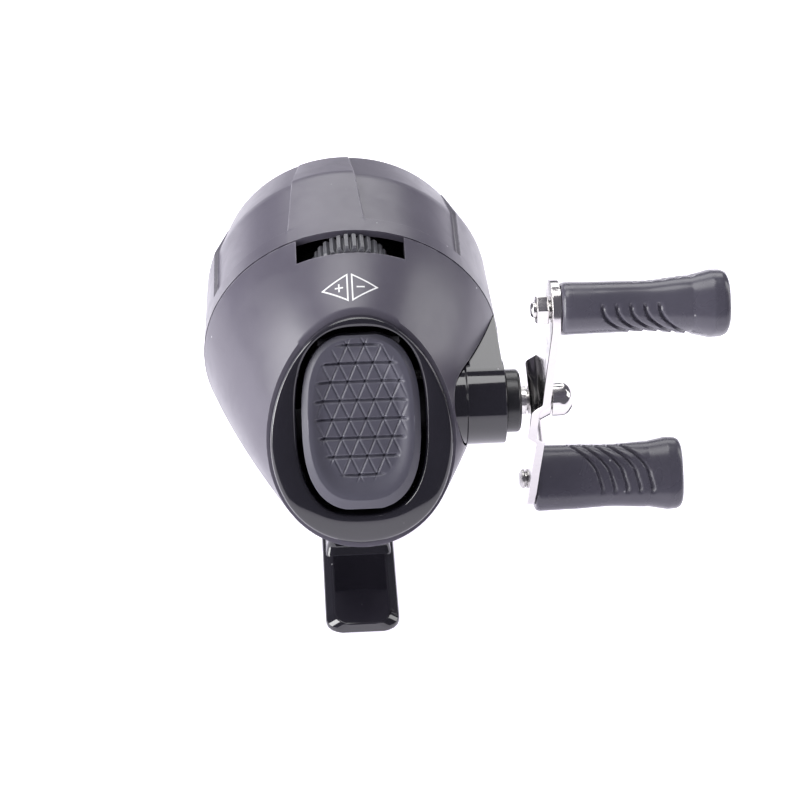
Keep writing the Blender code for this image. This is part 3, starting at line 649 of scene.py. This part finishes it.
# %% Bezel
BLUNTNESS = 2.7
CHIN = 0.016
CHIN_START = -14.0
BEZEL_SECTION = ((0.0, -5.0), (0.0, -1.0), (0.02, -0.5), (0.07, -0.15), (0.16, 0.02), (0.4, 0.12), (0.65, 0.1),
                 (0.84, -0.02), (0.92, -0.14), (0.97, -0.4), (1.0, -0.8), (1.04, -2.5), (0.27, -2.5), (0.27, -5.0))


def blunt(size, angle, up=0.0):
    """A point on a fuller oval, like an ellipse with square shoulders."""
    across = math.copysign(abs(math.cos(angle)) ** (2 / BLUNTNESS), math.cos(angle))
    along = math.copysign(abs(math.sin(angle)) ** (2 / BLUNTNESS), math.sin(angle))
    return size[0] * across, size[1] * along + up


def button_bezel():
    rings = []
    for angle in turns(120):
        inner = Vector(blunt(OPENING_SIZE, angle, OPENING_UP))
        outer = Vector(egg(BEZEL_SIZE, angle))
        section = [(inner.lerp(outer, share), out) for share, out in BEZEL_SECTION]
        rings.append([on_face(*spot, out - CHIN * max(CHIN_START - spot.y, 0) ** 2) for spot, out in section])
    bezel = grown("button_bezel", rings, closed=True)
    soften(bezel, angle=50)
    return hand_over(bezel, GLOSS, "root", "rear_bezel")


button_bezel()


# %% [markdown]
# ## Thumb button
# The button's face is dished and covered with triangles: deep grooves run across, and two slanting families of
# fine grooves cross them. Displacement in a material would not show in the outline, so the pattern is in the
# mesh. Each row of a grid primitive is stretched to the button's width there, which gives a clean edge without
# a Boolean, and every point takes its height from one rule. The border is then extruded back as a skirt.

# %% The button's height
BUTTON_RISE = (-1.0, 2.4)
DISH = 0.85
FLAT_SIZE = (11.0, 16.9)
FLAT_UP = 0.75
CHAMFER_SLOPE = 9.5
ROW_PITCH = 3.9
ROWS = 8
TOP_ROW = 18.6
LATTICE = 3.55
LATTICE_START = 1.08
KNURL_CENTRE = 5.0
KNURL_SIZE = (9.9, 15.4)


def dip(distance, half):
    """1 on a line, falling to 0 at half a groove's width."""
    return max(1 - abs(distance) / half, 0)


def nearest(value, pitch):
    """How far a value is from the nearest whole number of pitches."""
    return value - pitch * round(value / pitch)


def oval_share(size, across, up, centre, power):
    """0 in the middle of an oval and 1 on its outline."""
    return (abs(across / size[0]) ** power + abs((up - centre) / size[1]) ** power) ** (1 / power)


def knurl(across, up):
    inside = min(max((1 - oval_share(KNURL_SIZE, across, up, KNURL_CENTRE, 2.1)) * 12, 0), 1)
    down = TOP_ROW - up
    height = 0.0
    if -0.4 < down < ROW_PITCH * (ROWS - 1) + 0.4:
        height -= 0.62 * dip(nearest(down, ROW_PITCH), 0.4)
    slide = down / ROW_PITCH * LATTICE / 2
    for way in (-1, 1):
        height -= 0.24 * dip(nearest(across - LATTICE_START - way * slide, LATTICE), 0.3)
    return height * inside


def plane_height(up):
    """The button's own slanting plane, before anything is cut into it."""
    share = (OPENING_UP + BUTTON_SIZE[1] - up) / (2 * BUTTON_SIZE[1])
    return BUTTON_RISE[0] + (BUTTON_RISE[1] - BUTTON_RISE[0]) * share


def button_height(across, up):
    out = oval_share(BUTTON_SIZE, across, up, OPENING_UP, BLUNTNESS)
    edge = max(oval_share(FLAT_SIZE, across, up, OPENING_UP + FLAT_UP, BLUNTNESS) - 1, 0)
    dish = min(max((0.84 - out) / 0.22, 0), 1)
    dish = dish * dish * (3 - 2 * dish)
    return plane_height(up) - CHAMFER_SLOPE * min(edge, 0.25) - DISH * dish + knurl(across, up)


# %% The button
POST_R = 1.8
POST_START = -21.9
POST_END = -19.6
SKIRT = 3.5
SKIRT_WALL = 1.2
WEB = 2.3
END_SHARE = 0.985


def sunk_border(pad, depth, inward):
    """Extrude the selected border and put it a depth under the button's plane, drawn in a little."""
    bpy.ops.mesh.extrude_edges_move()
    mesh = bmesh.from_edit_mesh(pad.data)
    for vertex in mesh.verts:
        if vertex.select:
            away = vertex.co / MM - FACE_CENTRE
            across, up = away.x, away.dot(FACE_UP) - OPENING_UP
            less = 1 - inward / math.hypot(across, up)
            up = up * less + OPENING_UP
            vertex.co = on_face(across * less, up, plane_height(up) - depth) * MM
    bmesh.update_edit_mesh(pad.data)


def thumb_pad():
    only(None)
    columns, rows = 150, 320
    bpy.ops.mesh.primitive_grid_add(x_subdivisions=columns, y_subdivisions=rows, size=2)
    pad = bpy.context.object
    pad.name = pad.data.name = "thumb_pad"
    for vertex in pad.data.vertices:
        high = math.sin(vertex.co.y * math.asin(END_SHARE))
        wide = BUTTON_SIZE[0] * (1 - abs(high) ** BLUNTNESS) ** (1 / BLUNTNESS)
        across, up = vertex.co.x * wide, high * BUTTON_SIZE[1] + OPENING_UP
        vertex.co = on_face(across, up, button_height(across, up)) * MM
    bpy.ops.object.mode_set(mode="EDIT")
    bpy.ops.mesh.select_all(action="SELECT")
    bpy.ops.mesh.region_to_loop()
    sunk_border(pad, SKIRT, 0.0)
    sunk_border(pad, SKIRT, SKIRT_WALL)
    sunk_border(pad, WEB, 0.0)
    bpy.ops.mesh.edge_face_add()
    bpy.ops.mesh.select_all(action="SELECT")
    bpy.ops.mesh.normals_make_consistent(inside=False)
    bpy.ops.object.mode_set(mode="OBJECT")
    section = [(POST_R * math.cos(a), POST_R * math.sin(a)) for a in turns(32)]
    slanted = [(x, POST_START + z * math.tan(TILT), AXIS_Z + z) for x, z in section]
    post = grown("post", [slanted, [(x, POST_END, AXIS_Z + z) for x, z in section]])
    only(pad)
    post.select_set(True)
    bpy.ops.object.join()
    soften(pad, angle=38)
    return hand_over(pad, PAD, "button", "thumb_button")


thumb_pad()


# %% [markdown]
# ## Crank housing
# The frame casting reaches out of the casing's right side as a round boss, with a straight-sided fairing that
# runs forward to the seam. The frame's own solid already has the deck and sleeve, so a copy of it is refined,
# and a finer boss, neck and fairing with rounded edges are joined over the plain ones. The faces deep inside
# are matte, because nobody polishes that part of a mould.

# %% Crank housing
BOSS_END = 31.4
BOSS_SKIN = 0.04
HIDDEN_X = 17.5


def crank_housing():
    frame_piece = refined("main_frame", "crank_housing", 0.0)
    at = (0, CRANK.y, AXIS_Z)
    radius = BOSS_R + BOSS_SKIN
    outline = [(BOSS_END + 0.1, 4.5), (BOSS_END + 0.1, radius), (23.36, radius), (23.1, 8.85)]
    outline += [(18.2, 8.85), (18.2, 4.5)]
    boss = spun("boss", rounded(outline, 0.18), "X", at, 96)
    half = radius - 0.01
    fairing = block("fairing", (24.1, CRANK.y, AXIS_Z - half), (BOSS_END - 0.1, SEAM_Y - 0.12, AXIS_Z + half))
    carve(fairing, bar("fairing_bore", "X", 20, 40, 6.0, at))
    apply(fairing, "BEVEL", width=0.3 * MM, segments=3, limit_method="ANGLE", angle_limit=math.radians(40))
    carve(boss, fairing, "UNION")
    carve(frame_piece, boss, "UNION")
    soften(frame_piece, angle=34)
    piece = hand_over(frame_piece, GLOSS, "root", "main_frame")
    piece.data.materials.append(MATTE)
    for face in piece.data.polygons:
        face.material_index = 1 if face.center.x < HIDDEN_X * MM else 0
    return piece


crank_housing()


# %% Crank collar
def crank_collar():
    outline = [(34.9, 3.3), (34.9, 6.3), (34.4, 6.75), (31.75, 6.75), (31.75, 4.2), (16.0, 4.2), (16.0, 3.3)]
    collar = spun("crank_collar", rounded(outline, 0.25), "X", (0, CRANK.y, AXIS_Z), 96)
    soften(collar, angle=40)
    return hand_over(collar, COLLAR, "root", "crank_bushing")


crank_collar()


# %% [markdown]
# ## Crank arm
# The arm is stamped from strip about 2 mm thick, bent in beside the nut so that its ends stand clear of the
# boss. It is grown along its length through rounded rectangles, laid at the crank's lean, and then its three
# holes are cut.

# %% Crank arm
LEAN = math.radians(18.0)
ARM_REACH = 32.5
ARM_PLATE = 1.8
JOG_START = 4.6
JOG_END = 7.8


def on_arm(x, across, along):
    """A place on the leaning arm: out from the body, across the strip and along it."""
    turned = Matrix.Rotation(LEAN, 3, "X") @ Vector((0, across, along))
    return Vector((x, CRANK.y, AXIS_Z)) + turned


def arm_section(s):
    """The strip's inner face and half width at a distance s from its middle."""
    jog = min(max((abs(s) - JOG_START) / (JOG_END - JOG_START), 0.0), 1.0)
    past = max(abs(s) - ARM_REACH, 0.0)
    round_end = math.sqrt(max(36.0 - past * past, 0.5))
    return 36.6 + 2.1 * jog * jog * (3 - 2 * jog), round_end if past else 7.0 - 0.9 * min(abs(s) / 20, 1)


def crank_arm():
    ends = [ARM_REACH + 6.0 * math.sin(math.radians(a)) for a in (86, 75, 62, 48, 34, 20, 8)]
    stations = ends + [ARM_REACH - i for i in range(0, 24, 3)] + [8.2 - i * 0.4 for i in range(11)] + [2, 0]
    stations += [-s for s in reversed(stations[:-1])]
    rings = []
    for s in stations:
        inner, half = arm_section(s)
        corners = [(inner, -half), (inner + ARM_PLATE, -half), (inner + ARM_PLATE, half), (inner, half)]
        rings.append([on_arm(x, across, s) for x, across in rounded(corners, 0.3, steps=2)])
    arm = grown("crank_arm", rings)
    carve(arm, bar("hub_hole", "X", 30, 45, 2.3, (0, CRANK.y, AXIS_Z), 40))
    for sign in (1, -1):
        middle = on_arm(0, 0, sign * ARM_REACH)
        carve(arm, bar("spindle_hole", "X", 34, 45, 1.9, middle, 32))
    soften(arm, 0.12, angle=35)
    return hand_over(arm, CHROME, "crank", "handle_arm")


crank_arm()


# %% [markdown]
# ## Knobs
# Each knob is a paddle with a waist and a flared tip. Five curved grooves cross each face, and the two faces
# match under half a turn about the spindle. The grooves are narrow, so the loft has many close sections, and
# each point is sunk by how near it lies to a groove's curve.

# %% Knob shape
KNOB_START = 40.6
KNOB_LENGTH = 33.4
KNOB_PROFILE = ((0.0, 6.7, 4.6), (0.35, 7.3, 5.1), (0.9, 7.5, 5.3), (8, 7.4, 5.2), (17, 7.1, 5.1), (26, 7.5, 5.8),
                (30.2, 8.3, 6.8), (32.2, 8.2, 6.75), (33.0, 7.8, 6.4), (KNOB_LENGTH, 7.1, 5.7))
GROOVES = 5
GROOVE_PITCH = 2.85
GROOVE_START = 7.6


def knob_size(along):
    """Half width and half depth, on a smooth line through the profile."""
    for (a, *low), (b, *high) in zip(KNOB_PROFILE, KNOB_PROFILE[1:]):
        if along <= b:
            t = (along - a) / (b - a)
            t = t * t * (3 - 2 * t) if b - a > 5 else t
            return [u + (v - u) * t for u, v in zip(low, high)]
    return KNOB_PROFILE[-1][1:]


def groove_depth(along, angle):
    """How far a point is sunk. Grooves start on one edge and curve to run straight across the face."""
    side = 1 if math.sin(angle) > 0 else -1
    high = -math.cos(angle) * side
    if high < -0.5:
        return 0.0
    path = 7.2 * math.sin(math.pi / 2 * min((1 - high) / 1.4, 1))
    fade = min((high + 0.5) / 0.12, 1)
    deepest = 0.0
    for number in range(GROOVES):
        away = along - (GROOVE_START + GROOVE_PITCH * number + path)
        wall = 0.9 if away > 0 else 0.3
        deepest = max(deepest, dip(away, wall))
    return 0.7 * fade * deepest


def squarer(value):
    return math.copysign(abs(value) ** 0.75, value)


def paddle(name, sign, turn_degrees, node_name, body):
    centre = on_arm(KNOB_START, 0, sign * ARM_REACH)
    turn = Matrix.Rotation(math.radians(turn_degrees), 3, "X")
    stations = [0.0, 0.15, 0.35, 0.6, 0.9, 1.5] + [2 + i * 0.26 for i in range(112)]
    stations += [31.3, 31.9, 32.3, 32.7, 33.0, 33.2, KNOB_LENGTH]
    rings = []
    for along in stations:
        wide, deep = knob_size(along)
        ring = []
        for angle in turns(128):
            sink = groove_depth(along, angle)
            v = (deep - sink) * squarer(math.sin(angle))
            w = (wide - sink) * squarer(math.cos(angle))
            ring.append(centre + turn @ Vector((0, v, w)) + Vector((along, 0, 0)))
        rings.append(ring)
    grip = grown(name, rings)
    carve(grip, bar("knob_bore", "X", KNOB_START - 2, KNOB_START + 30, 1.9, centre, 32))
    soften(grip, angle=42)
    return hand_over(grip, GRIP, body, node_name)


paddle("upper_paddle", 1, 52.0, "knob_upper", "upper_knob")
paddle("lower_paddle", -1, -40.0, "knob_lower", "lower_knob")


# %% [markdown]
# ## Fasteners
# The small turned pieces are right as they are, but their edges are sharp. A copy of each has its flat faces
# merged and its edges rounded, which is what makes a nut catch the light.

# %% Fasteners
SMALL = (
    ("cap_nut", "domed_nut", 0.14, CHROME, "crank", "chrome"),
    ("arm_washer", "hub_washer", 0.15, CHROME, "crank", "chrome"),
    ("spindle_nut_upper", "upper_lock_nut", 0.16, CHROME, "crank", "chrome"),
    ("knob_spindle_upper", "upper_spindle", 0.12, STEEL, "crank", "steel"),
    ("knob_spindle_lower", "lower_spindle", 0.12, STEEL, "crank", "steel"),
)
for source, name, width, finish, body, slot in SMALL:
    hand_over(refined(source, name, width), finish, body, source)


# %% [markdown]
# ## Drag wheel
# Only a short arc of this wheel shows in the window, and a thumb has to grip it, so its teeth are broad and
# flat. The toothed outline is one loop that is extruded across the wheel, with a small step in at each side.

# %% Drag wheel
WHEEL_TEETH = 32
WHEEL_R = 8.5
WHEEL_AT = (0, 7.5, AXIS_Z + 23.5)


def wheel_radius(angle):
    """Broad flat teeth with round-bottomed gaps between them."""
    phase = angle / (2 * math.pi) * WHEEL_TEETH
    gap = abs(phase - round(phase))
    return WHEEL_R - 0.95 * (1 - min(gap / 0.24, 1) ** 2)


def thumbwheel():
    rings = []
    for y, less in ((-2.6, 0.35), (-2.25, 0.0), (2.25, 0.0), (2.6, 0.35)):
        ring = []
        for angle in turns(WHEEL_TEETH * 12):
            far = wheel_radius(angle) - less
            ring.append((far * math.cos(angle), WHEEL_AT[1] + y, WHEEL_AT[2] + far * math.sin(angle)))
        rings.append(ring)
    wheel = grown("drag_thumbwheel", rings)
    carve(wheel, bar("wheel_bore", "Y", 0, 15, 1.5, WHEEL_AT, 32))
    soften(wheel, angle=40)
    return hand_over(wheel, WHEEL, "drag_thumb_wheel", "drag_wheel")


thumbwheel()


# %% [markdown]
# ## Foot
# The foot is a plate with thinned, round-cornered ends and a stem that the body stands on. Plate and stem are
# grown apart and joined, and a wide bevel makes the moulded fillet where they meet.

# %% Foot
FOOT_HIGH = size_of("reel_foot")[1]


def rod_foot():
    half = FOOT_HIGH.x
    tip = FOOT_HIGH.y
    ends = [(tip, 4.9, 2.3), (tip - 0.25, 5.9, 2.55), (tip - 0.8, 6.9, 2.7), (tip - 1.6, 7.6, 2.8)]
    ends += [(tip - 2.6, half - 0.08, 2.9), (tip - 4, half, 3.0), (14.0, half, 3.4), (9.7, half, 4.2)]
    stations = [(-y, w, h) for y, w, h in ends] + [(y, w, h) for y, w, h in reversed(ends)]
    rings = []
    for y, wide, high in stations:
        shoulder = [(wide, high - 1.5), (wide - 2.0, high), (2.0 - wide, high), (-wide, high - 1.5)]
        outline = rounded([(-wide, 0.0), (wide, 0.0)] + shoulder, 0.45, steps=4)
        rings.append([(x, y, z) for x, z in outline])
    foot = grown("rod_foot", rings)
    levels = ((1.5, 7.4, 11.6), (4.0, 7.3, 10.6), (5.2, 7.0, 9.8), (6.5, 6.8, 9.2), (FOOT_HIGH.z, 6.8, 8.6))
    rings = []
    for z, wide, back in levels:
        front = min(back, 9.7)
        outline = rounded([(-wide, -back), (wide, -back), (wide, front), (-wide, front)], 2.0, steps=6)
        rings.append([(x, y, z) for x, y in outline])
    carve(foot, grown("stem", rings), "UNION")
    soften(foot, 0.5, angle=30, segments=4)
    return hand_over(foot, GLOSS, "root", "reel_foot")


rod_foot()


# %% [markdown]
# ## Printed marks
# Two outlined arrowheads behind the window say which way loosens the drag and which tightens it. Print has a
# hair of thickness, so each mark is a thin piece laid on the casing by looking straight down at its skin.

# %% Printed marks
def flat_mark(name, corners, hole=None):
    """A flat shape at height 0, as a triangle or bar with an optional hole of the same number of corners."""
    only(None)
    bpy.ops.mesh.primitive_circle_add(vertices=len(corners), radius=1, fill_type="NOTHING" if hole else "NGON")
    mark = bpy.context.object
    mark.name = mark.data.name = name
    for vertex, (x, y) in zip(mark.data.vertices, corners):
        vertex.co = Vector((x, y, 0)) * MM
    if hole:
        bpy.ops.object.mode_set(mode="EDIT")
        bpy.ops.mesh.select_all(action="SELECT")
        bpy.ops.mesh.extrude_edges_move()
        follow(mark, list(range(len(corners))), [(x, y, 0) for x, y in hole])
        bpy.ops.object.mode_set(mode="OBJECT")
    return mark


def lay_on_casing(mark):
    """Split the mark finely, drop it on the casing's skin and give it a film's thickness."""
    only(mark)
    bpy.ops.object.mode_set(mode="EDIT")
    bpy.ops.mesh.select_all(action="SELECT")
    bpy.ops.mesh.quads_convert_to_tris()
    bpy.ops.mesh.subdivide(number_cuts=5)
    bpy.ops.object.mode_set(mode="OBJECT")
    for vertex in mark.data.vertices:
        start = Vector((vertex.co.x, vertex.co.y, (AXIS_Z + BODY_R + 5) * MM))
        hit, place, _, _ = CASING.ray_cast(start, Vector((0, 0, -1)))
        if hit:
            vertex.co = place + Vector((0, 0, 0.02 * MM))
    apply(mark, "SOLIDIFY", thickness=0.03 * MM, offset=1.0)
    mark.data.materials.append(PRINT)
    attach(mark, "root")
    return mark


def inner(corners, by):
    """The corners moved towards their middle so that each side comes in by the same distance."""
    middle = sum((Vector(c) for c in corners), Vector((0, 0))) / len(corners)
    area = abs(sum(a[0] * b[1] - b[0] * a[1] for a, b in zip(corners, corners[1:] + corners[:1]))) / 2
    around = sum((Vector(a) - Vector(b)).length for a, b in zip(corners, corners[1:] + corners[:1]))
    share = 1 - by * around / (2 * area)
    return [tuple(middle + (Vector(c) - middle) * share) for c in corners]


ARROW_TIP_Y = -3.2
ARROW_HALF = 3.0
ARROW_LONG = 5.6
for label, way in (("tighten", -1), ("loosen", 1)):
    base_x = -0.6 + way * 0.35
    arrow = [(base_x, ARROW_TIP_Y + ARROW_HALF), (base_x, ARROW_TIP_Y - ARROW_HALF)]
    arrow.append((base_x + way * ARROW_LONG, ARROW_TIP_Y))
    if way < 0:
        arrow.reverse()
    lay_on_casing(flat_mark(f"{label}_arrow", arrow, inner(arrow, 0.3)))
    x, y, arm, thin = base_x + way * 1.9, ARROW_TIP_Y, 0.85, 0.15
    level = [(x - arm, y - thin), (x + arm, y - thin), (x + arm, y + thin), (x - arm, y + thin)]
    lay_on_casing(flat_mark(f"{label}_bar", level))
    if way < 0:
        upright = [(x - thin, y - arm), (x + thin, y - arm), (x + thin, y + arm), (x - thin, y + arm)]
        lay_on_casing(flat_mark("tighten_upright", upright))


# %% [markdown]
# ## Works inside
# The pieces inside keep the frame's own solids, because their shapes are right. They still get real finishes,
# for the day when somebody takes the cover off. Only the button's hinge pin is matte black in place of steel,
# a painted shade that keeps the gap round the thumb button dark.

# %% Finishes for the works
INSIDE = {
    "spinner_head": CHROME, "pinion_gear": BRASS, "shaft_bushing": BRASS, "drag_gear": BRASS,
    "main_gear": DIECAST, "spool": DIECAST, "thrust_plunger": ACETAL,
    # painted shade: the hinge pin is matte black instead of steel, so the gap round the button stays dark
    "button_hinge_pin": MATTE,
}
for name, solid in frame["nodes"].items():
    if solid.hide_render or any(word in name for word in ("rear_shell", "front_cover")):
        continue
    solid.data.materials.clear()
    solid.data.materials.append(INSIDE.get(name, STEEL))


# %% [markdown]
# ## Floor, light and camera
# A pale floor and broad soft lights suit black plastic, which shows only what it reflects. The camera looks down
# from behind the button with a long lens, as a catalogue picture would.

# %% Floor
def floor():
    only(None)
    bpy.ops.mesh.primitive_plane_add(size=6.0, location=(0, 0, -0.0005))
    sheet = bpy.context.object
    sheet.name = "floor"
    made, tree, shader = start_material("pale_floor")
    shader.inputs["Base Color"].default_value = (0.6, 0.6, 0.6, 1.0)
    shader.inputs["Roughness"].default_value = 0.7
    shader.inputs["Emission Color"].default_value = (0.91, 0.87, 1.0, 1.0)
    shader.inputs["Emission Strength"].default_value = 1.1
    sheet.data.materials.append(made)


floor()


# %% Lights
def softbox(name, place, aim, size, power, colour=(1, 1, 1)):
    data = bpy.data.lights.new(name, "AREA")
    data.shape = "RECTANGLE"
    data.size, data.size_y = size
    data.energy = power
    data.color = colour
    lamp = bpy.data.objects.new(name, data)
    bpy.context.scene.collection.objects.link(lamp)
    lamp.location = place
    lamp.rotation_euler = (Vector(aim) - Vector(place)).to_track_quat("-Z", "Y").to_euler()


AIM = (0.01, 0.0, 0.045)
softbox("front_high", (0.0, 0.95, 0.75), AIM, (1.2, 0.6), 6.5)
softbox("overhead", (-0.1, 0.1, 1.0), AIM, (0.7, 0.5), 5.0)
softbox("left_side", (-0.85, -0.25, 0.3), AIM, (0.5, 0.9), 15.0)
softbox("right_side", (0.85, 0.1, 0.45), AIM, (0.4, 0.7), 3.5)

world = bpy.data.worlds.new("studio")
world.use_nodes = True
world.node_tree.nodes["Background"].inputs["Color"].default_value = (0.85, 0.83, 1.0, 1.0)
world.node_tree.nodes["Background"].inputs["Strength"].default_value = 0.2
bpy.context.scene.world = world
bpy.context.scene.view_settings.view_transform = "Standard"


# %% Camera
AZIMUTH = math.radians(-3.66)
ELEVATION = math.radians(38.31)
DISTANCE = 415.0
AIM_POINT = Vector((0, -10, AXIS_Z))
AIM_OFFSET = (-9.33, -2.34)


def camera():
    back = Vector((math.sin(AZIMUTH) * math.cos(ELEVATION), -math.cos(AZIMUTH) * math.cos(ELEVATION),
                   math.sin(ELEVATION)))
    right = Vector((math.cos(AZIMUTH), math.sin(AZIMUTH), 0))
    up = back.cross(right)
    data = bpy.data.cameras.new("catalogue")
    data.sensor_width = 36.0
    data.lens = 87.9
    data.clip_start = 0.01
    view = bpy.data.objects.new("catalogue", data)
    bpy.context.scene.collection.objects.link(view)
    view.location = (AIM_POINT - right * AIM_OFFSET[0] - up * AIM_OFFSET[1] + back * DISTANCE) * MM
    view.rotation_euler = Matrix((right, up, back)).transposed().to_euler()
    bpy.context.scene.camera = view


camera()
